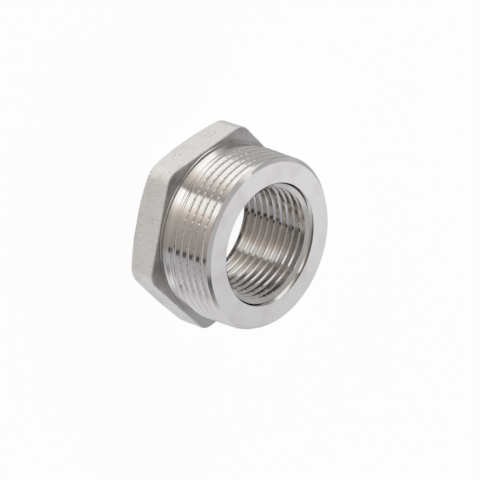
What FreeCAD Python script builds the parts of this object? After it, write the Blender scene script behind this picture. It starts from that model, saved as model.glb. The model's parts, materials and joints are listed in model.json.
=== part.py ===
import FreeCAD, Part
import os

import Sketcher
from FreeCAD import Vector

# Hex bushing: a reducing pipe bushing, cast and turned from one piece of stainless steel.
# The bore's axis is +Z. The hexagon head stands on z = 0 and the threaded barrel rises from it.
# Lengths are in millimetres and angles in degrees.

SIZES = {
    # hexagon head
    "across_flats": 49.2,
    "hex_thickness": 8.4,
    "corner_rounding": 4.7,
    "edge_rounding": 0.3,
    # the bevel on the back of its corners, and its slope from the back face
    "bevel_rise": 1.04,
    "bevel_angle": 22,
    # barrel, counted from the head's front face: a collar, then a neck, then the outside
    # thread's crest cone, which narrows towards the nose
    "barrel_length": 17,
    "collar_width": 0.7,
    "neck_depth": 0.756,
    "neck_fall": 0.5,
    "neck_width": 0.5,
    "neck_rise": 4,
    "nose_crest_radius": 23.505,
    "taper_angle": 1.79,
    "nose_bevel_width": 1.155,
    "nose_bevel_length": 0.95,
    # outside thread: 11 turns to the inch and the angle between its flanks. It runs out in the
    # neck, in this direction from the X axis and this far above the neck's start
    "thread_pitch": 2.309,
    "thread_angle": 55,
    "runout_direction": -80,
    "runout_rise": 0.347,
    # how far the groove's outline reaches past the crests
    "groove_overcut": 0.15,
    # bore, at the crests of the inside thread
    "bore_radius": 15.146,
    "mouth_bevel": 1.604,
    "mouth_angle": 45,
}

doc = FreeCAD.newDocument("hex_bushing")

sheet = doc.addObject("Spreadsheet::Sheet", "sizes")
for row, (name, value) in enumerate(SIZES.items(), start=1):
    sheet.set(f"A{row}", name)
    sheet.set(f"B{row}", str(value))
    sheet.setAlias(f"B{row}", name)
doc.recompute()

# Heights and radii that several features share, worked out from the sheet.
HEAD_FACE = "sizes.hex_thickness"
NOSE_FACE = f"({HEAD_FACE} + sizes.barrel_length)"
COLLAR_TOP = f"({HEAD_FACE} + sizes.collar_width)"
NECK_START = f"({COLLAR_TOP} + sizes.neck_fall)"
NECK_END = f"({NECK_START} + sizes.neck_width)"
RISE_END = f"({NECK_END} + sizes.neck_rise)"
NOSE_BEVEL_START = f"({NOSE_FACE} - sizes.nose_bevel_length)"
SHARP_CORNER = "(sizes.across_flats / sqrt(3))"
ROUNDED_CORNER = (
    "((sizes.across_flats / 2 - sizes.corner_rounding) / cos(30) + sizes.corner_rounding)"
)
COLLAR_RADIUS = "sizes.nose_crest_radius"
NECK_RADIUS = f"({COLLAR_RADIUS} - sizes.neck_depth)"
NOSE_RADIUS = "(sizes.nose_crest_radius - sizes.nose_bevel_width)"
GROOVE_START = f"({NECK_START} + sizes.runout_rise)"
# A pipe thread keeps two thirds of its sharp form: a sixth is taken off the crests and a sixth
# off the roots, which leaves flats of a sixth of the pitch.
HALF_ANGLE = "(sizes.thread_angle / 2)"
THREAD_DEPTH = f"(sizes.thread_pitch / (2 * tan({HALF_ANGLE})) * 2 / 3)"
ROOT_HALF = "(sizes.thread_pitch / 12)"
MOUTH_HALF = f"({ROOT_HALF} + ({THREAD_DEPTH} + sizes.groove_overcut) * tan({HALF_ANGLE}))"

body = doc.addObject("PartDesign::Body", "hex_bushing")
body.Label = "hex_bushing"


def crest_radius_at(height):
    """Radius of the outside thread's crest cone at a height."""
    return f"(sizes.nose_crest_radius + ({NOSE_FACE} - {height}) * tan(sizes.taper_angle))"


def add(kind, name, **settings):
    """Add a feature to the body, with its settings."""
    feature = body.newObject(kind, name)
    for key, value in settings.items():
        setattr(feature, key, value)
    return feature


def new_sketch(name, role):
    """An empty sketch on one of the body's own base planes."""
    plane = next(o for o in body.Origin.OriginFeatures if o.Role == role)
    return add(
        "Sketcher::SketchObject", name, AttachmentSupport=[(plane, "")], MapMode="FlatFace"
    )


def dimension(sketch, expression, *constraint):
    """Add a dimension to a sketch and tie it to the sheet."""
    index = sketch.addConstraint(Sketcher.Constraint(*constraint))
    sketch.setExpression(f"Constraints[{index}]", expression)


def closed_outline(sketch, points):
    """Draw straight edges round the points, each edge starting where the last one ends."""
    edges = []
    for start, end in zip(points, points[1:] + points[:1]):
        edges.append(sketch.addGeometry(Part.LineSegment(start, end), False))
    for edge, following in zip(edges, edges[1:] + edges[:1]):
        sketch.addConstraint(Sketcher.Constraint("Coincident", edge, 2, following, 1))
    return edges


def side_profile(name, corners):
    """A closed outline beside the bore's axis. A corner is its radius and height."""
    sketch = new_sketch(name, "XZ_Plane")
    rough = [Vector(10 + number, number * number, 0) for number in range(len(corners))]
    edges = closed_outline(sketch, rough)
    for edge, (radius, height) in zip(edges, corners):
        if radius == "0":
            sketch.addConstraint(Sketcher.Constraint("PointOnObject", edge, 1, -2))
        else:
            dimension(sketch, radius, "DistanceX", -1, 1, edge, 1, 1.0)
        if height == "0":
            sketch.addConstraint(Sketcher.Constraint("PointOnObject", edge, 1, -1))
        else:
            dimension(sketch, height, "DistanceY", -1, 1, edge, 1, 1.0)
    return sketch


def edges_where(shape, wanted):
    """Names of the edges of a shape that pass a test."""
    return [f"Edge{number}" for number, edge in enumerate(shape.Edges, 1) if wanted(edge)]


def cell(name):
    """The present value of a size, as a plain number."""
    return float(sheet.get(name))


def is_upright(edge):
    """Does this straight edge run along the bore's axis?"""
    return abs(edge.tangentAt(edge.FirstParameter).z) > 0.99


def is_front_outline(edge):
    """Does this edge lie in the head's front face?"""
    return all(abs(v.Z - cell("hex_thickness")) < 1e-6 for v in edge.Vertexes)


def is_bore_rim(edge):
    """Is this edge a circle of the bore's radius?"""
    curve = edge.Curve
    return isinstance(curve, Part.Circle) and abs(curve.Radius - cell("bore_radius")) < 1e-6


# Head: a hexagon with one corner on the X axis.
hexagon = new_sketch("hex_outline", "XY_Plane")
reach = cell("across_flats") / 3**0.5
turned = FreeCAD.Rotation(Vector(0, 0, 1), 60)
corner = Vector(reach, 0, 0)
corners = []
for _ in range(6):
    corners.append(corner)
    corner = turned.multVec(corner)
sides = closed_outline(hexagon, corners)
guide = hexagon.addGeometry(Part.Circle(Vector(0, 0, 0), Vector(0, 0, 1), reach), True)
hexagon.addConstraint(Sketcher.Constraint("Coincident", guide, 3, -1, 1))
for side in sides:
    hexagon.addConstraint(Sketcher.Constraint("PointOnObject", side, 1, guide))
for side in sides[1:]:
    hexagon.addConstraint(Sketcher.Constraint("Equal", sides[0], side))
hexagon.addConstraint(Sketcher.Constraint("PointOnObject", sides[0], 1, -1))
dimension(hexagon, SHARP_CORNER, "Radius", guide, reach)

head = add("PartDesign::Pad", "hex_head", Profile=hexagon)
head.setExpression("Length", HEAD_FACE)
doc.recompute()

rounding = add(
    "PartDesign::Fillet", "hex_corners", Base=(head, edges_where(head.Shape, is_upright))
)
rounding.setExpression("Radius", "sizes.corner_rounding")

# A turned bevel takes the corners of the back face down to a round.
bevel_start = f"({ROUNDED_CORNER} - sizes.bevel_rise / tan(sizes.bevel_angle))"
bevel_height = f"(({SHARP_CORNER} - {bevel_start}) * tan(sizes.bevel_angle))"
back_bevel = add(
    "PartDesign::Groove",
    "back_bevel",
    Profile=side_profile(
        "back_bevel_profile",
        [(bevel_start, "0"), (SHARP_CORNER, "0"), (SHARP_CORNER, bevel_height)],
    ),
    Angle=360,
)
back_bevel.ReferenceAxis = (back_bevel.Profile[0], ["V_Axis"])
doc.recompute()

softened = add(
    "PartDesign::Fillet",
    "front_edge",
    Base=(back_bevel, edges_where(back_bevel.Shape, is_front_outline)),
)
softened.setExpression("Radius", "sizes.edge_rounding")

# Barrel: a thin collar against the head, a turned neck where the thread runs out, the thread's
# crest cone, and a bevelled nose.
barrel = add(
    "PartDesign::Revolution",
    "barrel",
    Profile=side_profile(
        "barrel_profile",
        [
            ("0", HEAD_FACE),
            (COLLAR_RADIUS, HEAD_FACE),
            (COLLAR_RADIUS, COLLAR_TOP),
            (NECK_RADIUS, NECK_START),
            (NECK_RADIUS, NECK_END),
            (crest_radius_at(RISE_END), RISE_END),
            (crest_radius_at(NOSE_BEVEL_START), NOSE_BEVEL_START),
            (NOSE_RADIUS, NOSE_FACE),
            ("0", NOSE_FACE),
        ],
    ),
    Angle=360,
)
barrel.ReferenceAxis = (barrel.Profile[0], ["V_Axis"])
doc.recompute()

# Bore: right through, at the radius of the inside thread's crests, bevelled at both mouths.
bore_circle = new_sketch("bore_circle", "XY_Plane")
radius = cell("bore_radius")
circle = bore_circle.addGeometry(Part.Circle(Vector(0, 0, 0), Vector(0, 0, 1), radius), False)
bore_circle.addConstraint(Sketcher.Constraint("Coincident", circle, 3, -1, 1))
dimension(bore_circle, "sizes.bore_radius", "Radius", circle, radius)
bore = add(
    "PartDesign::Pocket", "bore", Profile=bore_circle, Type="ThroughAll", SideType="Symmetric"
)
doc.recompute()

mouths = add(
    "PartDesign::Chamfer",
    "mouths",
    Base=(bore, edges_where(bore.Shape, is_bore_rim)),
    ChamferType="Distance and Angle",
)
mouths.setExpression("Size", "sizes.mouth_bevel")
mouths.setExpression("Angle", "sizes.mouth_angle")
doc.recompute()

# Outside thread: the groove's outline is carried up a right-handed helix, which narrows with the
# crest cone and ends one pitch past the nose, and the groove is cut from the body.
groove_root = f"({crest_radius_at(GROOVE_START)} - {THREAD_DEPTH})"
groove_mouth = f"({crest_radius_at(GROOVE_START)} + sizes.groove_overcut)"
outline = side_profile(
    "thread_outline",
    [
        (groove_root, f"({GROOVE_START} - {ROOT_HALF})"),
        (groove_mouth, f"({GROOVE_START} - {MOUTH_HALF})"),
        (groove_mouth, f"({GROOVE_START} + {MOUTH_HALF})"),
        (groove_root, f"({GROOVE_START} + {ROOT_HALF})"),
    ],
)
path = doc.addObject("Part::Helix", "thread_path")
path.Style = "New style"
path.SegmentLength = 1
path.setExpression("Pitch", "sizes.thread_pitch")
path.setExpression("Height", f"{NOSE_FACE} + sizes.thread_pitch - {GROOVE_START}")
path.setExpression("Radius", crest_radius_at(GROOVE_START))
path.setExpression("Angle", "-sizes.taper_angle")
path.setExpression("Placement.Base.z", GROOVE_START)
groove = doc.addObject("Part::Sweep", "thread_groove")
groove.Sections = [outline]
groove.Spine = (path, [])
groove.Solid = True
groove.Frenet = True
groove.Placement = FreeCAD.Placement(Vector(), FreeCAD.Rotation(Vector(0, 0, 1), 1))
groove.setExpression("Placement.Rotation.Angle", "sizes.runout_direction")
threaded = doc.addObject("Part::Cut", "threaded_body")
threaded.Base = body
threaded.Tool = groove
doc.recompute()
bushing = threaded.Shape

for item in doc.Objects:
    if "Invalid" in item.State or "Error" in item.State:
        raise RuntimeError(f"{item.Name} did not build: {item.State}")
if bushing.isNull() or not bushing.isValid() or len(bushing.Solids) != 1:
    raise RuntimeError("the bushing is not one valid solid")
for cut, blank in ((back_bevel, rounding), (bore, barrel), (mouths, bore), (threaded, body)):
    if cut.Shape.Volume >= blank.Shape.Volume:
        raise RuntimeError(f"{cut.Name} removed no metal")

os.makedirs("parts", exist_ok=True)
bushing.exportStep(f"parts/{body.Label}.step")
box = bushing.optimalBoundingBox(False, False)
print(f"{body.Label}: {box.XLength:.2f} x {box.YLength:.2f} x {box.ZLength:.2f} mm,")
print(f"volume {bushing.Volume:.0f} cubic mm")
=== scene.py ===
# %% [markdown]
# # A hex bushing
# This lesson dresses a reducing pipe bushing: a cast hexagon head, a barrel with a tapered outside
# thread, and a threaded bore right through. The real thing is one casting, turned and threaded on
# a lathe, so everything here ends in one closed mesh with five finishes on it.
#
# The solid model comes first. It is loaded as a fixed frame, and the sizes below are worked out
# from it, so nothing has to be fitted afterwards. The bore's axis is +Z, the back of the hexagon
# stands on z = 0, and one corner of the hexagon points along +X.

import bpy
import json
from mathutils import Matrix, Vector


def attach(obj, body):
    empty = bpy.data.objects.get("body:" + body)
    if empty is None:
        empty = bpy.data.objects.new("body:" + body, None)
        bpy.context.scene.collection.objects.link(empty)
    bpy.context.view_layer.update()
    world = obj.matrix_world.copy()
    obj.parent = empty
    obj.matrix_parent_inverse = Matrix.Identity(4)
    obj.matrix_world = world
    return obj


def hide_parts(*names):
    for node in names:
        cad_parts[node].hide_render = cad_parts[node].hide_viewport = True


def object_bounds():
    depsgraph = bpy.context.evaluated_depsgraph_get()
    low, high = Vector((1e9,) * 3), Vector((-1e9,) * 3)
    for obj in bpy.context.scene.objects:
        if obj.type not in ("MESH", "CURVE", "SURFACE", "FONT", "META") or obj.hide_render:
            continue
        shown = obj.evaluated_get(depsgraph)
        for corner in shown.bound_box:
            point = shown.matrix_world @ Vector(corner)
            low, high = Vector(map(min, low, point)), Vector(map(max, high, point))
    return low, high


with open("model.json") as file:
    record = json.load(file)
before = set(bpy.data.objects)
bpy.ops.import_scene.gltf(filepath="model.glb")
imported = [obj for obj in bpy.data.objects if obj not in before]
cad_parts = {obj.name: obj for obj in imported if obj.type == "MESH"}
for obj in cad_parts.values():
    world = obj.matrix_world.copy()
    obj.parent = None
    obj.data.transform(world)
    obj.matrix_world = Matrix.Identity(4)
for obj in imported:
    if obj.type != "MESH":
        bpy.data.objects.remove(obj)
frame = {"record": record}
cad_low, cad_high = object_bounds()
print("solid model from", cad_low[:], "to", cad_high[:])

# %% [markdown]
# ## Tools
# Everything here is made by `bpy`, Blender's own module. Meshes can be built with it alone, but
# `bmesh` keeps track of which face borders on which, and that is needed to close the surface.

# %% Modules and the unit
import json
import math

import bmesh
import bpy
from mathutils import Matrix, Vector, noise

MM = 0.001
print("Blender", bpy.app.version_string, "counts in metres, and 1 mm is", MM)

# %% [markdown]
# ## Sizes
# The solid gives the outside sizes, and its mounts give the sizes of the two threads. The rest
# are the small widths and depths of the turned forms. Where the solid has them too, they are the
# same, and the finer ones only show up close. The large sizes could be typed in again as well,
# but read from the solid they can never disagree with it.

# %% Sizes of the bushing
mount_sizes = {mount["name"]: mount["dims"] for mount in frame["record"]["mounts"]}
HEIGHT = cad_high.z
HALF_FLATS = cad_high.y
NOSE_CREST = mount_sizes["outside_thread"]["r_mm"] * MM
BORE_CREST = mount_sizes["inside_thread"]["r_mm"] * MM

HEAD_TOP = 8.4 * MM
CORNER_ROUNDING = 4.7 * MM
EDGE_ROUNDING = 0.3 * MM
BEVEL_RISE = 1.04 * MM
BEVEL_SLOPE = math.tan(math.radians(22))
COLLAR_WIDTH = 0.7 * MM
COLLAR_SWELL = 0.50 * MM
COLLAR_LAND = 0.12 * MM
COLLAR_BEVEL_WIDTH = 0.12 * MM
COLLAR_BEVEL_RISE = 0.33 * MM
SHELF_RADIUS = 23.16 * MM
SHELF_RISE = 0.02 * MM
NECK_FALL = 0.5 * MM
NECK_WIDTH = 0.5 * MM
NECK_RISE = 4.0 * MM
NECK_DEPTH = 0.756 * MM
TAPER = math.tan(math.radians(1.79))
NOSE_BEVEL_WIDTH = 1.155 * MM
NOSE_BEVEL_LENGTH = 0.95 * MM
MOUTH_BEVEL = 1.604 * MM
print(f"crests at {NOSE_CREST / MM:.2f} mm outside and {BORE_CREST / MM:.2f} mm inside")

# %% [markdown]
# ## Formulas made of nodes
# A node tree that follows a formula needs dozens of Math nodes. They could be placed and linked
# one by one, but then nobody can read the formula any more. `Wire` wraps a socket, so that the
# formula can be written with ordinary signs, and each sign adds one Math node. It works in
# geometry trees and in shader trees alike.


# %% A socket that can stand in a formula, and nodes and groups
def plug(tree, value, socket):
    """Link a wire to a socket, or set the socket to a plain value."""
    if isinstance(value, Wire):
        tree.links.new(value.socket, socket)
    else:
        socket.default_value = value


def calculate(tree, operation, *values):
    """Add a Math node that works on wires and plain values."""
    node = tree.nodes.new("ShaderNodeMath")
    node.operation = operation
    for value, socket in zip(values, node.inputs):
        plug(tree, value, socket)
    return Wire(tree, node.outputs[0])


class Wire:
    """A value on its way through a node tree."""

    def __init__(self, tree, socket):
        self.tree = tree
        self.socket = socket

    def math(self, operation, *others):
        return calculate(self.tree, operation, self, *others)

    def __add__(self, other):
        return self.math("ADD", other)

    def __sub__(self, other):
        return self.math("SUBTRACT", other)

    def __rsub__(self, other):
        return calculate(self.tree, "SUBTRACT", other, self)

    def __mul__(self, other):
        return self.math("MULTIPLY", other)

    def __truediv__(self, other):
        return self.math("DIVIDE", other)

    def __rtruediv__(self, other):
        return calculate(self.tree, "DIVIDE", other, self)

    def low(self, other):
        return self.math("MINIMUM", other)

    def high(self, other):
        return self.math("MAXIMUM", other)


def add_node(tree, kind, settings=None, **inputs):
    """Add a node. The settings are its own properties, and the inputs are sockets by name."""
    node = tree.nodes.new(kind)
    for name, value in (settings or {}).items():
        setattr(node, name, value)
    for name, value in inputs.items():
        plug(tree, value, node.inputs[name.replace("_", " ")])
    return node


def out(node, name=0):
    """One output of a node, as a wire."""
    return Wire(node.id_data, node.outputs[name])


def make_group(name, kind, inputs, outputs):
    """A node group with named sockets. Gives the tree, its inputs as wires, and its end node."""
    tree = bpy.data.node_groups.new(name, kind)
    for in_out, sockets in (("INPUT", inputs), ("OUTPUT", outputs)):
        for label, socket_kind in sockets:
            tree.interface.new_socket(name=label, in_out=in_out, socket_type=socket_kind)
    start = tree.nodes.new("NodeGroupInput")
    wires = {label: Wire(tree, start.outputs[label]) for label, _ in inputs}
    return tree, wires, tree.nodes.new("NodeGroupOutput")


# A short trial, which is thrown away again, shows where a formula ends.
trial, trial_given, _ = make_group("trial", "ShaderNodeTree", [("Share", "NodeSocketFloat")], [])
halved = (trial_given["Share"] + 1.0) / 2.0
print("(share + 1) / 2 ends in a Math node set to", halved.socket.node.operation)
bpy.data.node_groups.remove(trial)

# %% [markdown]
# ## The form of a pipe thread
# A pipe thread has flanks 55 degrees apart, and its crests and roots are rounded by equal arcs.
# Depth and rounding follow from the pitch, and 11 threads to the inch give the pitch.
#
# Seen along one side, the form repeats once a pitch. It is enough to know half of it, from the
# middle of a crest to the bottom of a root. The form could be drawn as a curve and copied, but a
# short table can be checked against the rule. Each station in it has its distance from the
# crest's middle and its depth below the crest.

# %% Pitch, depth and stations of the thread
PITCH = 25.4 / 11 * MM
THREAD_DEPTH = 0.640327 * PITCH
ARC_RADIUS = 0.137329 * PITCH
HALF_ANGLE = math.radians(27.5)
ARC_END = ARC_RADIUS * math.cos(HALF_ANGLE)
ARC_DEPTH = ARC_RADIUS * (1 - math.sin(HALF_ANGLE))
MID_ARC = 0.55


def arc_depth(offset):
    """How far a crest's arc has fallen at a distance from its middle."""
    return ARC_RADIUS - math.sqrt(ARC_RADIUS**2 - offset**2)


STATIONS = [
    # share of the crest's half width, distance added to it, depth below the crest
    (0.0, 0.0, 0.0),
    (MID_ARC, 0.0, arc_depth(MID_ARC * ARC_END)),
    (1.0, 0.0, ARC_DEPTH),
    (0.0, PITCH / 2 - ARC_END, THREAD_DEPTH - ARC_DEPTH),
    (0.0, PITCH / 2 - MID_ARC * ARC_END, THREAD_DEPTH - arc_depth(MID_ARC * ARC_END)),
    (0.0, PITCH / 2, THREAD_DEPTH),
]
ROWS_PER_TURN = 2 * (len(STATIONS) - 1)
print(f"pitch {PITCH / MM:.3f} mm, depth {THREAD_DEPTH / MM:.3f} mm, {ROWS_PER_TURN} rows a turn")

# %% [markdown]
# ## The thread as a rule
# A thread could be swept as a ridge along a helix, but then it only sticks in a cylinder and the
# mesh isn't closed. It could be cut by a boolean, which is slow and leaves slivers. Geometry
# Nodes can instead bend a flat grid straight into the threaded skin.
#
# One direction of the grid goes once round the bushing. The other counts rows along the form of
# the thread, ten to a turn. A row climbs by one pitch on its way round, so at the end it meets
# the row ten further up, and Merge by Distance closes the seam. Rows that would leave the
# threaded length are held at its ends, where they fold into one plain circle.

# %% Inputs of the thread's tree
MEASURES = [
    "Bottom",
    "Top",
    "First crest",
    "Crest radius",
    "Crest cut",
    "Taper",
    "Inward",
    "Neck gap",
    "Neck end",
    "Neck rise",
    "Run out",
    "Bevel start",
    "Bevel slope",
    "Nicks around",
    "Nick depth",
    "Seed",
]
THREAD_INPUTS = [(label, "NodeSocketFloat") for label in MEASURES] + [
    ("Turns", "NodeSocketInt"),
    ("Columns", "NodeSocketInt"),
    ("Material", "NodeSocketMaterial"),
]
print("the thread's rule takes", len(THREAD_INPUTS), "inputs")

# %% [markdown]
# ## Where the blank is smaller than the thread
# The blank that a thread is cut in isn't everywhere as large as the thread's crests. Near the
# head it has a turned neck, and the nose has a bevel. There the grooves are shallower and the
# crests wide and flat. A cone and a ring could cut this away afterwards, but they would leave
# slivers along the crests. The tree works it out instead, from the gap between crests and blank.


# %% Gap, crest and station
def gap_to_blank(given, height):
    """How far the turned blank lies under the thread's crests at a height."""
    left = (given["Neck end"] + given["Neck rise"] - height) / given["Neck rise"]
    neck = given["Neck gap"] * left.low(1.0).high(0.0)
    bevel = (height - given["Bevel start"]) * given["Bevel slope"]
    return neck.high(bevel).high(given["Crest cut"])


def half_width_of_crest(given, crest, side):
    """Half the crest's width: its arc, or more where the blank cuts it off."""
    # The gap depends on where the crest ends, so the width is worked out twice.
    half_crest = ARC_END
    for _ in range(2):
        cut_off = gap_to_blank(given, crest + side * half_crest)
        widened = (cut_off - ARC_DEPTH).high(0.0) * math.tan(HALF_ANGLE) + ARC_END
        half_crest = widened.low(PITCH / 2 - ARC_END)
    return half_crest


def at_station(tree, station, column):
    """One column of the table of stations, chosen by the station's number."""
    node = add_node(tree, "GeometryNodeIndexSwitch", {"data_type": "FLOAT"}, Index=station)
    while len(node.index_switch_items) < len(STATIONS):
        node.index_switch_items.new()
    for number, line in enumerate(STATIONS):
        node.inputs[number + 1].default_value = line[column]
    return out(node)


print(f"a full crest is {2 * ARC_END / MM:.2f} mm wide, and a flat one up to {PITCH / MM:.2f} mm")

# %% [markdown]
# ## Nicks in the crests
# The cutting tool chatters and tears small nicks in the crests, at even steps round the thread.
# Hundreds of small cutters would do it too, but the rule is simple enough for the tree: a cosine
# gives the even steps, and noise makes each nick a little deeper or shallower. The bevel was
# turned last, so it has none.

# %% Depth of a nick
NICK_NOISE_SCALE = 450.0
NICK_LEVEL = 0.5
LEAST_NICK = 0.5
FULL_CREST = 0.04 * MM


def nick_depth(tree, given, angle, height, station, gap):
    """How deep a nick goes at a place on the thread."""
    flow = add_node(
        tree, "ShaderNodeCombineXYZ", X=angle.math("COSINE"), Y=angle.math("SINE"), Z=height / NOSE_CREST
    )
    tearing = add_node(
        tree,
        "ShaderNodeTexNoise",
        {"noise_dimensions": "4D"},
        Vector=out(flow),
        W=given["Seed"],
        Scale=NICK_NOISE_SCALE * NOSE_CREST,
        Detail=1.0,
    )
    # Noise keeps to the middle of its range, so it is stretched to reach from 0 to 1.
    torn = (out(tearing) * 2.0 - 0.5).high(LEAST_NICK).low(1.0)
    beat = ((angle * given["Nicks around"]).math("COSINE") - NICK_LEVEL).high(0.0) / (1 - NICK_LEVEL)
    before_bevel = height.math("LESS_THAN", given["Bevel start"] - ARC_END)
    # A nick is deepest in the crest's middle, and gone two stations further down.
    on_crest = (1.0 - station * 0.5).high(0.0) * gap.math("LESS_THAN", FULL_CREST) * before_bevel
    return given["Nick depth"] * beat * on_crest * torn


print(f"nicks keep to crests that the blank leaves within {FULL_CREST / MM:.2f} mm of full size")

# %% [markdown]
# ## The tree
# The rows are numbered, the number gives the turn and the station, and these give the height and
# the depth of each corner. The values could be stored on the mesh step by step, but as wires they
# read like a formula. The grid is bent only once, at the end, in one Set Position.

# %% The tree that bends a grid into a thread
MERGE_DISTANCE = 0.002 * MM
SAME_HEIGHT = 0.0001 * MM


def thread_tree():
    """Bend a flat grid into a threaded skin."""
    tree, given, result = make_group(
        "threaded skin", "GeometryNodeTree", THREAD_INPUTS, [("Geometry", "NodeSocketGeometry")]
    )
    rows = given["Turns"] * ROWS_PER_TURN
    grid = add_node(
        tree,
        "GeometryNodeMeshGrid",
        Size_X=1.0,
        Size_Y=1.0,
        Vertices_X=given["Columns"] + 1.0,
        Vertices_Y=rows + 1.0,
    )
    place = add_node(tree, "GeometryNodeInputPosition")
    flat = add_node(tree, "ShaderNodeSeparateXYZ", Vector=out(place))
    around = out(flat, "X") + 0.5
    angle = around * math.tau
    row = ((out(flat, "Y") + 0.5) * rows).math("ROUND")

    # Where in its turn the row lies, counted up to the root and down again.
    turn = (row / ROWS_PER_TURN).math("FLOOR")
    step = row - turn * ROWS_PER_TURN
    half_turn = ROWS_PER_TURN / 2
    past_root = step.math("GREATER_THAN", half_turn + 0.5)
    station = half_turn - (step - half_turn).math("ABSOLUTE")

    # The height, held between the ends of the threaded length.
    crest = given["First crest"] + (turn + past_root + around) * PITCH
    side = past_root * -2.0 + 1.0
    half_crest = half_width_of_crest(given, crest, side)
    share, added, form = (at_station(tree, station, column) for column in range(3))
    free_height = crest + side * (share * half_crest + added)
    height = free_height.high(given["Bottom"]).low(given["Top"])
    inside = height.math("COMPARE", free_height, SAME_HEIGHT)

    # The tool is drawn back as it comes to the neck, so the last groove gets shallow there.
    gap = gap_to_blank(given, height)
    nick = nick_depth(tree, given, angle, height, station, gap)
    runout = ((height - given["Neck end"]) / given["Run out"]).high(0.0).low(1.0)
    depth = gap + inside * ((gap.high(form) - gap) * runout + nick)

    radius = given["Crest radius"] + (given["Top"] - height) * given["Taper"] - given["Inward"] * depth
    bent = add_node(
        tree,
        "ShaderNodeCombineXYZ",
        X=radius * angle.math("COSINE"),
        Y=radius * angle.math("SINE"),
        Z=height,
    )
    skin = add_node(tree, "GeometryNodeSetPosition", Geometry=out(grid, "Mesh"), Position=out(bent))
    closed = add_node(
        tree, "GeometryNodeMergeByDistance", Geometry=out(skin), Distance=MERGE_DISTANCE
    )
    real = add_node(tree, "GeometryNodeRealizeInstances", Geometry=out(closed))
    finished = add_node(
        tree, "GeometryNodeSetMaterial", Geometry=out(real), Material=given["Material"]
    )
    plug(tree, out(finished), result.inputs["Geometry"])
    return tree


threaded_skin = thread_tree()
print(len(threaded_skin.nodes), "nodes in the thread's tree")

# %% [markdown]
# ## From the tree to a mesh
# The modifier could stay on the bushing, but the skins have to be joined to the rest of it, and
# only plain meshes can be merged. So the modifier's inputs are set by each socket's identifier,
# the result is copied into a plain mesh, and the modifier goes with the object that held it.

# %% Make a threaded skin
identifiers = {socket.name: socket.identifier for socket in threaded_skin.interface.items_tree}


def threaded_mesh(name, **values):
    """Run the thread's tree with named inputs and give the mesh that it makes."""
    holder = bpy.data.objects.new(name, bpy.data.meshes.new(name))
    bpy.context.scene.collection.objects.link(holder)
    modifier = holder.modifiers.new("thread", "NODES")
    modifier.node_group = threaded_skin
    for label, value in values.items():
        modifier[identifiers[label.replace("_", " ")]] = value
    bpy.context.view_layer.update()
    graph = bpy.context.evaluated_depsgraph_get()
    mesh = bpy.data.meshes.new_from_object(holder.evaluated_get(graph))
    bpy.data.objects.remove(holder)
    print(f"{name}: {len(mesh.vertices)} corners, {len(mesh.polygons)} faces")
    return mesh


def first_crest(bottom, crest_on_x):
    """The crest line's height at the start of the grid: on the helix, and a turn below the skin."""
    return bottom - PITCH - (bottom - crest_on_x) % PITCH


def turns_between(start, top):
    """Whole turns that take every row past the top."""
    return math.ceil((top - start) / PITCH)


print("the modifier knows the input Bottom as", identifiers["Bottom"])

# %% [markdown]
# ## Outside thread
# The outside thread tapers by 1 in 16. It starts at the nose, where the bevel cuts into its first
# turn, and it runs out in the neck by the head. The solid's groove starts at the same place and
# in the same direction, so both have their crests on one helix.
#
# The five finishes get their names here, because the threads carry two of them. Their nodes
# follow further down.

# %% The outside thread's skin
COLUMNS = 576
CHATTER_MARKS = 78.0
NICK_DEPTH = 0.24 * MM
RUN_OUT = 1.6 * MM
RUNOUT_DIRECTION = -80.0
RUNOUT_RISE = 0.347 * MM

neck_start = HEAD_TOP + COLLAR_WIDTH + NECK_FALL
hollow_end = neck_start + NECK_WIDTH
neck_radius = NOSE_CREST - NECK_DEPTH
neck_gap = NOSE_CREST + (HEIGHT - neck_start) * TAPER - neck_radius
crest_on_x = neck_start + RUNOUT_RISE + PITCH * (0.5 - RUNOUT_DIRECTION / 360)
barrel_first = first_crest(neck_start, crest_on_x)
FINISHES = ["cast_skin", "turned_face", "cut_thread", "bore_thread", "dull_face_painted_shade"]
for name in FINISHES:
    bpy.data.materials.new(name).use_nodes = True

barrel_skin = threaded_mesh(
    "barrel",
    Bottom=neck_start,
    Top=HEIGHT,
    First_crest=barrel_first,
    Turns=turns_between(barrel_first, HEIGHT),
    Columns=COLUMNS,
    Crest_radius=NOSE_CREST,
    Crest_cut=0.0,
    Taper=TAPER,
    Inward=1.0,
    Neck_gap=neck_gap,
    Neck_end=hollow_end,
    Neck_rise=NECK_RISE,
    Run_out=RUN_OUT,
    Bevel_start=HEIGHT - NOSE_BEVEL_LENGTH,
    Bevel_slope=NOSE_BEVEL_WIDTH / NOSE_BEVEL_LENGTH,
    Nicks_around=CHATTER_MARKS,
    Nick_depth=NICK_DEPTH,
    Seed=3.0,
    Material=bpy.data.materials["cut_thread"],
)

# %% [markdown]
# ## Bore thread
# The bore's thread is parallel, and its grooves go outwards, so the same tree runs with the
# opposite sign. Its crests were cut flat by the drill before the thread was cut. It needs half as
# many columns, because the bore is smaller.

# %% The bore thread's skin
BORE_COLUMNS = COLUMNS // 2
BORE_CREST_ON_X = 12.0 * MM
BORE_CREST_CUT = 0.24 * MM
bore_top = HEIGHT - MOUTH_BEVEL
bore_first = first_crest(MOUTH_BEVEL, BORE_CREST_ON_X)

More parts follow.
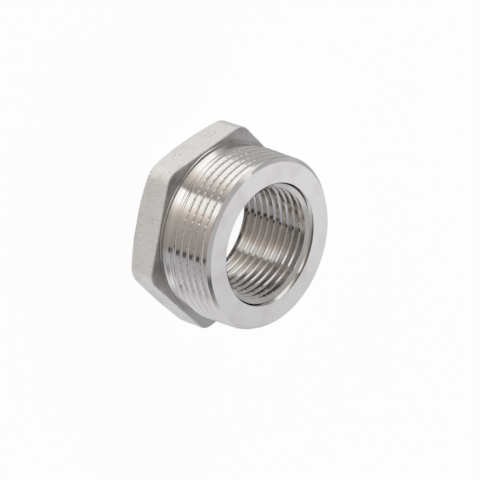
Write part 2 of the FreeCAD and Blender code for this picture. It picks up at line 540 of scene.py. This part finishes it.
bore_skin = threaded_mesh(
    "bore",
    Bottom=MOUTH_BEVEL,
    Top=bore_top,
    First_crest=bore_first,
    Turns=turns_between(bore_first, bore_top),
    Columns=BORE_COLUMNS,
    Crest_radius=BORE_CREST - BORE_CREST_CUT,
    Crest_cut=BORE_CREST_CUT,
    Taper=0.0,
    Inward=-1.0,
    Neck_gap=0.0,
    Neck_end=MOUTH_BEVEL,
    Neck_rise=PITCH,
    Run_out=MERGE_DISTANCE,
    Bevel_start=bore_top,
    Bevel_slope=0.0,
    Nicks_around=CHATTER_MARKS,
    Nick_depth=0.0,
    Seed=5.0,
    Material=bpy.data.materials["bore_thread"],
)

# %% [markdown]
# ## Rings and strips
# The rest of the surface is a stack of rings, each joined to the next by a strip of faces. On the
# head a ring follows the hexagon with its rounded corners, and elsewhere it is a circle. Bevel and
# boolean modifiers could make these forms too, but rings with the same corners as the threaded
# skins close the mesh without any cutting.


# %% Rings round the axis
def hexagon_radius(angle, inset=0.0):
    """How far the rounded hexagon's outline lies from the axis, in a direction."""
    sixth = math.tau / 6
    from_corner = (angle + sixth / 2) % sixth - sixth / 2
    rounding = CORNER_ROUNDING - inset
    corner_centre = (HALF_FLATS - CORNER_ROUNDING) / math.cos(sixth / 2)
    arc_limit = sixth / 2 - math.atan2(corner_centre * math.sin(sixth / 2), HALF_FLATS - inset)
    if abs(from_corner) < arc_limit:
        across = corner_centre * math.sin(from_corner)
        return corner_centre * math.cos(from_corner) + math.sqrt(rounding**2 - across**2)
    return (HALF_FLATS - inset) / math.cos(sixth / 2 - abs(from_corner))


def circle(radius):
    """The same distance from the axis in every direction."""
    return lambda angle: radius


def level(height):
    """The same height in every direction."""
    return lambda angle: height


def add_ring(mesh, radius_at, height_at, columns=COLUMNS, moved=None):
    """Corners all round the axis. The radius and the height may depend on the direction."""
    ring = []
    for number in range(columns):
        angle = math.tau * number / columns
        out_from_axis = Vector((math.cos(angle), math.sin(angle), 0))
        place = out_from_axis * radius_at(angle) + Vector((0, 0, height_at(angle)))
        if moved:
            place = moved(place, angle)
        ring.append(mesh.verts.new(place))
    return ring


def add_strip(mesh, ring, next_ring, finish):
    """Faces between two rings. The second has as many corners as the first, or half as many."""
    ratio = len(ring) // len(next_ring)
    for number in range(len(next_ring)):
        following = (number + 1) % len(next_ring)
        near = [ring[(number * ratio + k) % len(ring)] for k in range(ratio + 1)]
        corners = [*near, next_ring[following], next_ring[number]]
        mesh.faces.new(corners).material_index = FINISHES.index(finish)


print(f"the hexagon is {2 * hexagon_radius(0.0) / MM:.2f} mm wide over its rounded corners")

# %% [markdown]
# ## Head
# The head is cast and keeps its rough flats. Its back is out of view, and is taken to be turned,
# with the usual shallow bevel on the six corners. A plain prism would look too perfect: a cast
# flat isn't quite even, so its corners are moved inwards by a little noise.

# %% Back, sides and front edge of the head
FLAT_ROWS = 24
EDGE_STEPS = 5
CAST_UNEVENNESS = 0.05 * MM
WIDE_SWELL_SCALE = 180
WIDE_SWELL = 0.5
FINE_SWELL_SCALE = 700
FINE_SWELL = 0.35
shell = bmesh.new()
bevel_face = hexagon_radius(0.0) - BEVEL_RISE / BEVEL_SLOPE
mouth_radius = BORE_CREST + MOUTH_BEVEL
side_top = HEAD_TOP - EDGE_ROUNDING


def bevel_height(angle):
    """Where the back bevel meets the head's side, in a direction."""
    return max(0.0, (hexagon_radius(angle) - bevel_face) * BEVEL_SLOPE)


def cast_uneven(place, angle):
    """Move a corner of the cast skin a little inwards."""
    swell = noise.noise(place * WIDE_SWELL_SCALE) * WIDE_SWELL
    swell += noise.noise(place * FINE_SWELL_SCALE) * FINE_SWELL
    amount = CAST_UNEVENNESS * (0.5 + swell)
    return place - Vector((math.cos(angle), math.sin(angle), 0)) * max(0.0, amount)


back_mouth = add_ring(shell, circle(mouth_radius), level(0.0), BORE_COLUMNS)
back_rim = add_ring(shell, lambda a: min(hexagon_radius(a), bevel_face), level(0.0))
side_rings = []
for step in range(FLAT_ROWS + 1):
    share = step / FLAT_ROWS
    ring = add_ring(
        shell,
        hexagon_radius,
        lambda a: bevel_height(a) + (side_top - bevel_height(a)) * share,
        moved=cast_uneven,
    )
    side_rings.append(ring)
add_strip(shell, back_rim, back_mouth, "turned_face")
add_strip(shell, side_rings[0], back_rim, "turned_face")
for ring, next_ring in zip(side_rings, side_rings[1:]):
    add_strip(shell, ring, next_ring, "cast_skin")
last = side_rings[-1]
for step in range(1, EDGE_STEPS + 1):
    turn = math.pi / 2 * step / EDGE_STEPS
    inset = EDGE_ROUNDING * (1 - math.cos(turn))
    rise = EDGE_ROUNDING * math.sin(turn)
    ring = add_ring(shell, lambda a: hexagon_radius(a, inset), level(side_top + rise))
    add_strip(shell, last, ring, "cast_skin")
    last = ring
print(len(shell.faces), "faces in the head")

# %% [markdown]
# ## Turned faces
# The lathe left a narrow collar on the head's front, a corner at its foot, the flat nose, and a
# bevel in each mouth of the bore. The head's front and the corner at the collar's foot get darker
# tints, which are painted shade. A Screw modifier could turn a drawn profile into such forms, but
# its corners wouldn't meet the hexagon's. Here each profile is a short list of radius and height,
# and a loop makes a ring of each entry. The mouth's bevel has a steep part and a flatter one,
# because the real one was cut in steps.

# %% Collar, nose and mouths
collar_radius = NOSE_CREST + COLLAR_SWELL
land_top = HEAD_TOP + COLLAR_LAND
shelf = land_top + COLLAR_BEVEL_RISE
turned_profile = [
    # The head's front and the shelf at the collar's foot get the dull finish, whose darker tints are
    # painted shade.
    (collar_radius, HEAD_TOP, "dull_face_painted_shade"),
    (collar_radius, land_top, "turned_face"),
    (collar_radius - COLLAR_BEVEL_WIDTH, shelf, "turned_face"),
    (SHELF_RADIUS, shelf + SHELF_RISE, "dull_face_painted_shade"),
    (neck_radius, neck_start, "turned_face"),
]
for radius, height, finish in turned_profile:
    ring = add_ring(shell, circle(radius), level(height))
    add_strip(shell, last, ring, finish)
    last = ring

nose_rim = add_ring(shell, circle(NOSE_CREST - NOSE_BEVEL_WIDTH), level(HEIGHT))
nose_mouth = add_ring(shell, circle(mouth_radius), level(HEIGHT), BORE_COLUMNS)
add_strip(shell, nose_rim, nose_mouth, "turned_face")
MOUTH_STEPS = [
    # share of the bevel's width from its rim, share of its depth
    (0.10, 0.12),
    (0.30, 0.56),
    (1.0, 1.0),
]
for mouth, face, way in ((nose_mouth, HEIGHT, -1), (back_mouth, 0.0, 1)):
    last = mouth
    for width_share, depth_share in MOUTH_STEPS:
        radius = mouth_radius - MOUTH_BEVEL * width_share
        height = face + way * MOUTH_BEVEL * depth_share
        ring = add_ring(shell, circle(radius), level(height), BORE_COLUMNS)
        add_strip(shell, last, ring, "turned_face")
        last = ring
print(len(shell.faces), "faces in the head and the turned forms")

# %% [markdown]
# ## One closed mesh
# The skins and the rings could stay separate parts that only touch, but then light leaks in at
# the seams. The skins end in plain circles with the same corners as the rings, so merging doubles
# closes the whole surface. A closed mesh has exactly two faces on every edge, and the print shows
# whether that is so. Turned edges stay sharp, and a thread's edges get sharp at a wider angle,
# because its arcs are made of few faces.

# %% Join everything
THREAD_SHARP_ANGLE = math.radians(38)
SHARP_ANGLE = math.radians(20)

for mesh, finish in ((barrel_skin, "cut_thread"), (bore_skin, "bore_thread")):
    before = len(shell.faces)
    shell.from_mesh(mesh)
    shell.faces.ensure_lookup_table()
    for number in range(before, len(shell.faces)):
        shell.faces[number].material_index = FINISHES.index(finish)
bmesh.ops.remove_doubles(shell, verts=shell.verts, dist=MERGE_DISTANCE)
bmesh.ops.recalc_face_normals(shell, faces=shell.faces)
open_edges = sum(len(edge.link_faces) != 2 for edge in shell.edges)
for face in shell.faces:
    face.smooth = True
threads = {FINISHES.index("cut_thread"), FINISHES.index("bore_thread")}
for edge in shell.edges:
    in_thread = any(face.material_index in threads for face in edge.link_faces)
    limit = THREAD_SHARP_ANGLE if in_thread else SHARP_ANGLE
    edge.smooth = edge.calc_face_angle(0.0) < limit
print(f"{len(shell.faces)} faces, {open_edges} open edges, {shell.calc_volume() * 1e9:.0f} cubic mm")

bushing_mesh = bpy.data.meshes.new("hex_bushing_dressed")
for name in FINISHES:
    bushing_mesh.materials.append(bpy.data.materials[name])
shell.to_mesh(bushing_mesh)
shell.free()
bushing = bpy.data.objects.new("bushing", bushing_mesh)
bpy.context.scene.collection.objects.link(bushing)

# %% [markdown]
# ## Which way the thread's corners lean
# Polished metal shows every change of direction. Plain smooth shading gives the narrow faces of a
# crest as much say as the wide flanks, and the reflections wobble. Here each face counts by the
# square of its area, so a flank stays flat up to its edge.
#
# The neck by the head is turned hollow, with a curve too slight to be worth its faces. Its
# corners lean a little towards the nose instead, most at the collar and less further on.

# %% Normals of the threads and the neck
HOLLOW_LEAN = 0.30
NECK_LEAN = 0.10
LEAN_FADE = 2.0 * MM
LEAN_END = 0.4
SOFT_DEPTH = 0.3 * MM


def hollowed(leaning, place):
    """Lean a corner of the neck towards the nose, and leave every other corner as it is."""
    outward = Vector((place.x, place.y, 0))
    left = min(1.0, (hollow_end + NECK_RISE - place.z) / NECK_RISE)
    blank = NOSE_CREST + (HEIGHT - place.z) * TAPER - neck_gap * left
    if left <= 0 or outward.length <= blank - SOFT_DEPTH:
        return leaning
    share = min(1.0, 1.0 - (blank - outward.length) / SOFT_DEPTH, left / LEAN_END)
    faded = min(1.0, (place.z - neck_start) / LEAN_FADE)
    lean = HOLLOW_LEAN + (NECK_LEAN - HOLLOW_LEAN) * faded
    soft = outward.normalized() + Vector((0, 0, lean))
    return leaning.normalized().lerp(soft.normalized(), share)


leanings = [Vector() for _ in bushing_mesh.vertices]
for polygon in bushing_mesh.polygons:
    for corner in polygon.vertices:
        leanings[corner] += polygon.normal * polygon.area**2
for number, vertex in enumerate(bushing_mesh.vertices):
    leanings[number] = hollowed(leanings[number], vertex.co).normalized()
on_sharp_edge = set()
for edge in bushing_mesh.edges:
    if edge.use_edge_sharp:
        on_sharp_edge.update(edge.vertices)
corner_normals = []
for polygon in bushing_mesh.polygons:
    for corner in polygon.vertices:
        plain = polygon.material_index not in threads or corner in on_sharp_edge
        corner_normals.append(Vector() if plain else leanings[corner])
bushing_mesh.normals_split_custom_set(corner_normals)
print(sum(normal.length > 0 for normal in corner_normals), "corners with a normal of their own")

# %% [markdown]
# ## Where a point lies on a turned part
# Every mark of the lathe follows the axis. This shader group works out how far a point lies from
# the axis and in which direction, all from object coordinates. A UV map could say the same, but
# the mesh would have to be unrolled first.
#
# The height counts towards the distance too. Otherwise a straight wall along the axis would lie
# at one distance and have no marks.


# %% Shader group: place round the axis
HEIGHT_COUNTS = 0.7
NEAREST_TO_AXIS = 1.0 * MM
round_tree, _, round_end = make_group(
    "place round the axis",
    "ShaderNodeTree",
    [],
    [
        ("Across", "NodeSocketFloat"),
        ("Direction", "NodeSocketVector"),
        ("Point", "NodeSocketVector"),
    ],
)
point = out(add_node(round_tree, "ShaderNodeTexCoord"), "Object")
split = add_node(round_tree, "ShaderNodeSeparateXYZ", Vector=point)
east, north, rise = (out(split, letter) for letter in "XYZ")
from_axis = (east * east + north * north).math("SQRT").high(NEAREST_TO_AXIS)
heading = add_node(
    round_tree, "ShaderNodeCombineXYZ", X=east / from_axis, Y=north / from_axis, Z=0.0
)
plug(round_tree, from_axis + rise * HEIGHT_COUNTS, round_end.inputs["Across"])
plug(round_tree, out(heading), round_end.inputs["Direction"])
plug(round_tree, point, round_end.inputs["Point"])
print(len(round_tree.nodes), "nodes in", round_tree.name)

# %% [markdown]
# ## Tool marks
# A cutting tool leaves fine lines that run round the axis. They differ quickly across the surface
# and only slowly along it, so the noise is stretched: it takes the place across the surface at a
# fine scale and the direction round the axis at a coarse one. A picture of scratches would need
# a seam somewhere and blur close up. A second noise gives the soft smears that oil and fingers
# leave on polished steel.

# %% Shader group: tool marks
SMEAR_SCALE = 160.0
SMEAR_EDGES = (0.42, 0.68)


def noise_at(tree, vector, scale, detail, seed):
    """A value of smooth noise at a point, about 0 to 1."""
    node = add_node(
        tree,
        "ShaderNodeTexNoise",
        {"noise_dimensions": "4D"},
        Vector=vector,
        W=seed,
        Scale=scale,
        Detail=detail,
    )
    return out(node)


def smooth_step(tree, value, start, end):
    """Go smoothly from 0 at the start to 1 at the end."""
    node = add_node(tree, "ShaderNodeMapRange", {"interpolation_type": "SMOOTHSTEP"}, Value=value)
    plug(tree, start, node.inputs["From Min"])
    plug(tree, end, node.inputs["From Max"])
    return out(node, "Result")


def grouped(tree, group, **inputs):
    """Add a shader group with its inputs set."""
    return add_node(tree, "ShaderNodeGroup", {"node_tree": group}, **inputs)


marks_tree, marks_given, marks_end = make_group(
    "tool marks",
    "ShaderNodeTree",
    [("Line width", "NodeSocketFloat"), ("Waviness", "NodeSocketFloat"), ("Seed", "NodeSocketFloat")],
    [("Lines", "NodeSocketFloat"), ("Smears", "NodeSocketFloat")],
)
spot = grouped(marks_tree, round_tree)
along = add_node(marks_tree, "ShaderNodeSeparateXYZ", Vector=out(spot, "Direction"))
stretched = add_node(
    marks_tree,
    "ShaderNodeCombineXYZ",
    X=out(spot, "Across") / marks_given["Line width"],
    Y=out(along, "X") * marks_given["Waviness"],
    Z=out(along, "Y") * marks_given["Waviness"],
)
seed = marks_given["Seed"]
lines = noise_at(marks_tree, out(stretched), scale=1.0, detail=3.0, seed=seed)
smears = noise_at(marks_tree, out(spot, "Point"), scale=SMEAR_SCALE, detail=3.0, seed=seed)
plug(marks_tree, lines, marks_end.inputs["Lines"])
plug(marks_tree, smooth_step(marks_tree, smears, *SMEAR_EDGES), marks_end.inputs["Smears"])
print(len(marks_tree.nodes), "nodes in", marks_tree.name)

# %% [markdown]
# ## Cast grain
# A casting keeps the skin of its mould, which is a fine grain with some deeper pits. Two noises
# give the grain, and the cells of a Voronoi texture give the pits. The pits keep to patches, as
# they do where the mould's coating was thin. Real dents in the mesh would take millions of faces
# for something as fine as sand, so the grain is left to the shader.

# %% Shader group: cast grain
COARSE_GRAIN = 0.3
GRAIN_SHARE = 0.6
PIT_SHARE = 0.7
PIT_EDGES = (0.1, 0.34)
PATCH_SCALE = 260.0
PATCH_EDGES = (0.5, 0.62)
STAIN_SCALE = 210.0
STAIN_EDGES = (0.45, 0.7)
SPECK_EDGES = (0.58, 0.42)
grain_tree, grain_given, grain_end = make_group(
    "cast grain",
    "ShaderNodeTree",
    [("Grain size", "NodeSocketFloat"), ("Pit size", "NodeSocketFloat")],
    [
        ("Rise", "NodeSocketFloat"),
        ("Pits", "NodeSocketFloat"),
        ("Stains", "NodeSocketFloat"),
        ("Specks", "NodeSocketFloat"),
    ],
)
point = out(add_node(grain_tree, "ShaderNodeTexCoord"), "Object")
grain_size = grain_given["Grain size"]
fine = noise_at(grain_tree, point, scale=1.0 / grain_size, detail=2.0, seed=1.0)
coarse = noise_at(grain_tree, point, scale=COARSE_GRAIN / grain_size, detail=2.0, seed=2.0)
cells = add_node(
    grain_tree, "ShaderNodeTexVoronoi", Vector=point, Scale=1.0 / grain_given["Pit size"]
)
patches = noise_at(grain_tree, point, scale=PATCH_SCALE, detail=1.0, seed=3.0)
patches = smooth_step(grain_tree, patches, *PATCH_EDGES)
pits = (1.0 - smooth_step(grain_tree, out(cells, "Distance"), *PIT_EDGES)) * patches
stains = noise_at(grain_tree, point, scale=STAIN_SCALE, detail=3.0, seed=4.0)
stains = smooth_step(grain_tree, stains, *STAIN_EDGES)
rise = fine * GRAIN_SHARE + coarse * GRAIN_SHARE - pits * PIT_SHARE
plug(grain_tree, rise, grain_end.inputs["Rise"])
plug(grain_tree, pits, grain_end.inputs["Pits"])
plug(grain_tree, stains, grain_end.inputs["Stains"])
# The specks mark where the fine grain is low, and the cast skin darkens them as painted shade.
plug(grain_tree, smooth_step(grain_tree, fine, *SPECK_EDGES), grain_end.inputs["Specks"])
print(len(grain_tree.nodes), "nodes in", grain_tree.name)

# %% [markdown]
# ## Five finishes on one steel
# All finishes are the same stainless steel, as it looks cast, turned or cut. A finish mixes two
# tints by a mask, spreads its roughness between two values by another, and raises its marks with a
# bump. Four of them come from a lathe tool and differ only in numbers, so they share a function.


# %% What every finish does
# A Mix node has sockets of the same names for every type, so those for colours go by number.
MIX_INPUTS = (0, 6, 7)
MIX_RESULT = 2


def mix_colours(tree, factor, first, second):
    """Mix two colours, plain or wired, by a factor."""
    node = add_node(tree, "ShaderNodeMix", {"data_type": "RGBA"})
    for value, number in zip((factor, first, second), MIX_INPUTS):
        plug(tree, value, node.inputs[number])
    return Wire(tree, node.outputs[MIX_RESULT])


def steel(name, metallic, tints, mask, roughness, rough_mask, height, relief):
    """Fill one finish. The height is a value from 0 to 1, and the relief its depth in metres."""
    tree = bpy.data.materials[name].node_tree
    shader = tree.nodes["Principled BSDF"]
    clean, worn = ((*tint, 1) for tint in tints)
    smooth, rough = roughness
    plug(tree, mix_colours(tree, mask, clean, worn), shader.inputs["Base Color"])
    plug(tree, rough_mask * (rough - smooth) + smooth, shader.inputs["Roughness"])
    plug(tree, metallic, shader.inputs["Metallic"])
    bump = add_node(tree, "ShaderNodeBump", Strength=1.0, Distance=relief, Height=height)
    plug(tree, out(bump), shader.inputs["Normal"])
    print(name, "has", len(tree.nodes), "nodes")


def lathe_steel(name, line_width, waviness, seed, tints, roughness, relief, metallic=1.0, fine=False):
    """A finish cut on the lathe. With fine, the worn tint keeps to single lines in the smears."""
    tree = bpy.data.materials[name].node_tree
    marks = grouped(tree, marks_tree, Line_width=line_width, Waviness=waviness, Seed=seed)
    lines = out(marks, "Lines")
    mask = out(marks, "Smears")
    if fine:
        mask = mask * lines
    steel(name, metallic, tints, mask, roughness, rough_mask=lines, height=lines, relief=relief)


print("finishes:", ", ".join(FINISHES))

# %% [markdown]
# ### Cast skin
# The six flats are as they came from the mould and were only blasted clean. They are pale and
# matt, with fine dark specks where the grain is low, which are painted shade of the grain and partly
# its own tone, and some brownish pits. Fully metallic they would turn dark, because a blasted skin
# scatters light much as paint does.

# %% Cast skin
STAIN_TINT = 0.25
PIT_TINT = 0.45
# The specks darken the cast skin where its grain is low: painted shade of the grain, and partly the
# grain's own tone.
SPECK_PAINTED_SHADE = 0.25
skin_tree = bpy.data.materials["cast_skin"].node_tree
grain = grouped(skin_tree, grain_tree, Grain_size=0.45 * MM, Pit_size=1.1 * MM)
browned = out(grain, "Stains") * STAIN_TINT + out(grain, "Pits") * PIT_TINT
steel(
    "cast_skin",
    metallic=0.6,
    tints=((0.98, 0.97, 0.95), (0.68, 0.66, 0.63)),
    mask=browned + out(grain, "Specks") * SPECK_PAINTED_SHADE,
    roughness=(0.38, 0.55),
    rough_mask=out(grain, "Specks"),
    height=out(grain, "Rise"),
    relief=0.22 * MM,
)

# %% [markdown]
# ### Turned faces
# The nose, the mouths and the back were faced with a sharp tool. A plain grey would look like
# plastic there. They are smooth enough to mirror the white studio, with faint rings and smears.

# %% Turned faces
lathe_steel(
    "turned_face",
    line_width=0.12 * MM,
    waviness=0.6,
    seed=1.0,
    tints=((0.88, 0.87, 0.84), (0.80, 0.785, 0.75)),
    roughness=(0.08, 0.17),
    relief=0.004 * MM,
)

# %% [markdown]
# ### Dull faces with painted shade
# The head's front and the corner at the collar's foot sit where the head and the collar meet, and
# their darker tints are painted shade. They could be darkened by a mask on the turned finish, but a
# finish of their own also makes them rougher, so they look grey beside the nose, though both face
# the same way.

# %% Dull faces with painted shade
lathe_steel(
    "dull_face_painted_shade",
    line_width=0.12 * MM,
    waviness=1.0,
    seed=7.0,
    # Both tints are painted shade, darker than the turned faces' tints.
    tints=((0.56, 0.55, 0.53), (0.42, 0.41, 0.395)),
    roughness=(0.28, 0.42),
    relief=0.004 * MM,
    metallic=0.9,
)

# %% [markdown]
# ### Outside thread
# The outside thread is the brightest part. The tool has burnished its flanks, so the roughness is
# low. The worn tint would dull whole turns if it came in smears, so it keeps to fine streaks.

# %% Outside thread
lathe_steel(
    "cut_thread",
    line_width=0.10 * MM,
    waviness=1.5,
    seed=2.0,
    tints=((0.96, 0.945, 0.93), (0.87, 0.845, 0.81)),
    roughness=(0.05, 0.13),
    relief=0.0016 * MM,
    fine=True,
)

# %% [markdown]
# ### Bore thread
# The inside thread was tapped and not touched again. It could share the outside one's finish, but
# its tints are darker, and its marks run more evenly.

# %% Bore thread
lathe_steel(
    "bore_thread",
    line_width=0.12 * MM,
    waviness=0.6,
    seed=5.0,
    tints=((0.76, 0.74, 0.72), (0.64, 0.62, 0.595)),
    roughness=(0.06, 0.13),
    relief=0.001 * MM,
)

# %% [markdown]
# ## Floor
# The photo shows the bushing in front of plain white. A shadow catcher could stand for the floor,
# but it only works with a second picture behind, so the floor is a real sheet. It lies a hair
# lower than the head, because two faces in one plane flicker. It throws no shadow and stays out
# of the metal, where the boards below the horizon show instead.

# %% Floor
FLOOR_HALF = 1.5
FLOOR_DROP = 0.05 * MM
floor_mesh = bpy.data.meshes.new("floor")
corners = [
    (x * FLOOR_HALF, y * FLOOR_HALF, -FLOOR_DROP) for x, y in ((-1, -1), (1, -1), (1, 1), (-1, 1))
]
floor_mesh.from_pydata(corners, [], [(0, 1, 2, 3)])
floor = bpy.data.objects.new("floor", floor_mesh)
bpy.context.scene.collection.objects.link(floor)
floor.visible_glossy = False
floor.visible_shadow = False
floor_paper = bpy.data.materials.new("floor_paper")
floor_paper.use_nodes = True
floor_mesh.materials.append(floor_paper)
print("floor", 2 * FLOOR_HALF, "m wide")

# %% [markdown]
# ### The floor's paper
# Paper lit by lamps alone turns grey at the far end. This paper glows a little by itself, so that
# it comes out white everywhere, and the small matt share keeps a soft shadow under the bushing.
# It is clear from below, so that the back of the head can be looked at.

# %% The floor's paper
paper_tree = floor_paper.node_tree
matt = paper_tree.nodes["Principled BSDF"]
for name, value in {
    "Base Color": (0.2, 0.2, 0.2, 1),
    "Roughness": 1.0,
    "Specular IOR Level": 0.0,
    "Emission Color": (1, 1, 1, 1),
    "Emission Strength": 0.9,
}.items():
    matt.inputs[name].default_value = value
side = add_node(paper_tree, "ShaderNodeNewGeometry")
clear = add_node(paper_tree, "ShaderNodeBsdfTransparent")
one_way = add_node(paper_tree, "ShaderNodeMixShader", Fac=out(side, "Backfacing"))
plug(paper_tree, out(matt), one_way.inputs[1])
plug(paper_tree, out(clear), one_way.inputs[2])
plug(paper_tree, out(one_way), paper_tree.nodes["Material Output"].inputs["Surface"])
print("paper made of", len(paper_tree.nodes), "nodes")

# %% [markdown]
# ## Camera
# The bushing could be turned in front of a fixed camera, but then it would leave the solid's
# frame. It stands still, and the camera goes where it sees the bushing as the photographer did.
# Three angles say how the bushing lies in the picture: how far its axis tilts away from the line
# of sight, which way it leans, and how far the hexagon is turned. The middle of the nose has its
# place in front of the lens. Turned round, the same facts give the camera's place and turn.

# %% Camera
TILT = math.radians(50.24)
LEAN = math.radians(19.52)
CORNER_TURN = math.radians(13.88)
NOSE_IN_VIEW = Vector((7.98, 1.253, 652.024)) * MM
FOCAL_LENGTH = 187.5

axis = Vector((math.sin(TILT) * math.cos(LEAN), math.sin(TILT) * math.sin(LEAN), -math.cos(TILT)))
across = Vector((0, 0, 1)).cross(axis).normalized()
along = axis.cross(across)
corner_way = across * math.cos(CORNER_TURN) + along * math.sin(CORNER_TURN)
flat_way = axis.cross(corner_way)
picture_to_part = Matrix((corner_way, flat_way, axis))
camera = bpy.data.objects.new("camera", bpy.data.cameras.new("camera"))
bpy.context.scene.collection.objects.link(camera)
camera.data.lens = FOCAL_LENGTH
camera.data.sensor_width = 36.0
camera.data.clip_start = 0.01
right, up, back = (picture_to_part @ Vector(v) for v in ((1, 0, 0), (0, -1, 0), (0, 0, -1)))
camera_turn = Matrix((right, up, back)).transposed().to_4x4()
camera_place = Vector((0, 0, HEIGHT)) - picture_to_part @ NOSE_IN_VIEW
camera.matrix_world = Matrix.Translation(camera_place) @ camera_turn
bpy.context.scene.camera = camera
print("camera at", [round(value / MM, 1) for value in camera_place])

# %% [markdown]
# ## Studio boards
# Polished metal is only as good as what it mirrors. A studio photographer sets white and grey
# boards round such a part, with gaps between them where the white paper behind shows. Lamps and
# planes could stand for the boards, but then each bright band on the thread would have to be hunted
# for. Here two colour ramps hold them, one round the bushing at eye level and below, and one above
# it. A direction is counted in degrees from the camera's side, and a tint multiplies a brightness.

# %% Boards round the bushing
PLAIN = (1.0, 1.0, 1.0)
WARM = (1.10, 1.0, 0.93)
COOL = (1.01, 1.0, 1.05)
LOW_BOARDS = [
    # direction, brightness, tint
    (-180, 0.50, COOL),
    (-125, 0.30, PLAIN),
    (-112, 0.30, PLAIN),
    (-100, 0.38, PLAIN),
    (-92, 0.55, PLAIN),
    (-86, 1.00, PLAIN),
    (-61, 1.00, PLAIN),
    (-52, 0.74, WARM),
    (-45, 0.52, WARM),
    (-38, 0.38, WARM),
    (-30, 0.24, WARM),
    (-27, 1.00, PLAIN),
    (-13, 1.00, PLAIN),
    (-8, 0.78, WARM),
    (0, 0.52, WARM),
    (8, 0.38, WARM),
    (30, 0.29, WARM),
    (45, 0.26, WARM),
    (50, 0.36, COOL),
    (72, 0.48, COOL),
    (90, 0.72, COOL),
    (106, 0.46, COOL),
    (122, 0.62, COOL),
    (140, 0.50, COOL),
]
HIGH_BOARDS = [
    (-180, 0.70, COOL),
    (-176, 0.84, COOL),
    (-140, 0.47, PLAIN),
    (-112, 0.36, PLAIN),
    (-92, 0.84, PLAIN),
    (-75, 0.70, PLAIN),
    (-60, 0.16, WARM),
    (-30, 0.11, WARM),
    (10, 0.10, WARM),
    (45, 0.08, WARM),
    (88, 0.12, PLAIN),
    (102, 0.28, PLAIN),
    (116, 0.62, PLAIN),
    (140, 0.62, COOL),
    (175, 0.56, COOL),
]
print(len(LOW_BOARDS), "low boards and", len(HIGH_BOARDS), "high ones")

# %% [markdown]
# ## Directions round the bushing
# The boards have to know where a mirrored ray goes. A painted panorama would do, but a world made
# of numbers can be read and changed. The ray's direction is turned into two angles: the azimuth
# round the bushing, counted from the camera's side, and the elevation above the horizon.

# %% Azimuth, elevation and ramps
DEGREES = 180 / math.pi
world = bpy.data.worlds.new("tent")
bpy.context.scene.world = world
world.use_nodes = True
tent = world.node_tree
tent.nodes.clear()
view_azimuth = math.degrees(math.atan2(camera_place.y, camera_place.x))
way = add_node(tent, "ShaderNodeTexCoord")
parts = add_node(tent, "ShaderNodeSeparateXYZ", Vector=out(way, "Generated"))
azimuth = out(parts, "Y").math("ARCTAN2", out(parts, "X")) * DEGREES - view_azimuth
azimuth = azimuth.math("WRAP", 180.0, -180.0)
elevation = out(parts, "Z").math("ARCSINE") * DEGREES


def panorama(boards):
    """A ramp all round the bushing, with one stop for each board."""
    node = add_node(tent, "ShaderNodeValToRGB", Fac=azimuth / 360.0 + 0.5)
    stops = node.color_ramp.elements
    while len(stops) < len(boards) + 1:
        stops.new(0.5)
    closing = (180, *boards[0][1:])
    for stop, (direction, brightness, tint) in zip(stops, [*boards, closing]):
        stop.position = direction / 360 + 0.5
        stop.color = (*(min(1.0, brightness * part) for part in tint), 1)
    return out(node)


def between(rise_start, rise_end, fall_start, fall_end):
    """1 in a range of directions with two soft edges, and 0 elsewhere."""
    risen = smooth_step(tent, azimuth, rise_start, rise_end)
    return risen * (1.0 - smooth_step(tent, azimuth, fall_start, fall_end))


print(f"the camera's side is at {view_azimuth:.1f} degrees")

# %% [markdown]
# ## The world
# The low boards give way to the high ones, and those to an even grey overhead. A thin dark post
# stands below the horizon and puts a row of dark dots in the thread. The camera sees plain white
# paper everywhere, and so would glass. Metal sees that paper in the two gaps between the boards.

# %% World
HIGH_START = (14.0, 24.0)
OVERHEAD_START = (46.0, 50.0)
OVERHEAD = 0.42
POST = (43.5, 45.0, 50.0, 51.5)
POST_TOP = (-22.0, -18.0)
POST_DARKNESS = 0.9
WIDE_GAP = (-88.0, -86.0, -61.0, -59.0)
NARROW_GAP = (-28.0, -27.0, -13.0, -12.0)

high_share = smooth_step(tent, elevation, *HIGH_START)
round_about = mix_colours(tent, high_share, panorama(LOW_BOARDS), panorama(HIGH_BOARDS))
overhead_share = smooth_step(tent, elevation, *OVERHEAD_START)
colour = mix_colours(tent, overhead_share, round_about, (OVERHEAD, OVERHEAD, OVERHEAD, 1))
post = between(*POST) * (1.0 - smooth_step(tent, elevation, *POST_TOP))
boards = add_node(tent, "ShaderNodeBackground", Color=colour, Strength=1.0 - post * POST_DARKNESS)
paper = add_node(tent, "ShaderNodeBackground", Color=(1, 1, 1, 1), Strength=1.0)

rays = add_node(tent, "ShaderNodeLightPath")
gaps = between(*WIDE_GAP).high(between(*NARROW_GAP)) * (1.0 - high_share)
sees_paper = out(rays, "Is Camera Ray").high(out(rays, "Is Transmission Ray"))
sees_paper = sees_paper.high(out(rays, "Is Glossy Ray") * gaps)
glow = add_node(tent, "ShaderNodeMixShader", Fac=sees_paper)
plug(tent, out(boards), glow.inputs[1])
plug(tent, out(paper), glow.inputs[2])
add_node(tent, "ShaderNodeOutputWorld", Surface=out(glow))
print(len(tent.nodes), "nodes in the world")

# %% [markdown]
# ## Hand over
# Colours are shown as they are written, so the view transform is Standard. Then the mesh gets its
# body, and the node that it stands for is hidden.

# %% Colours and body
bpy.context.scene.view_settings.view_transform = "Standard"
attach(bushing, "root")
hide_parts("hex_bushing")
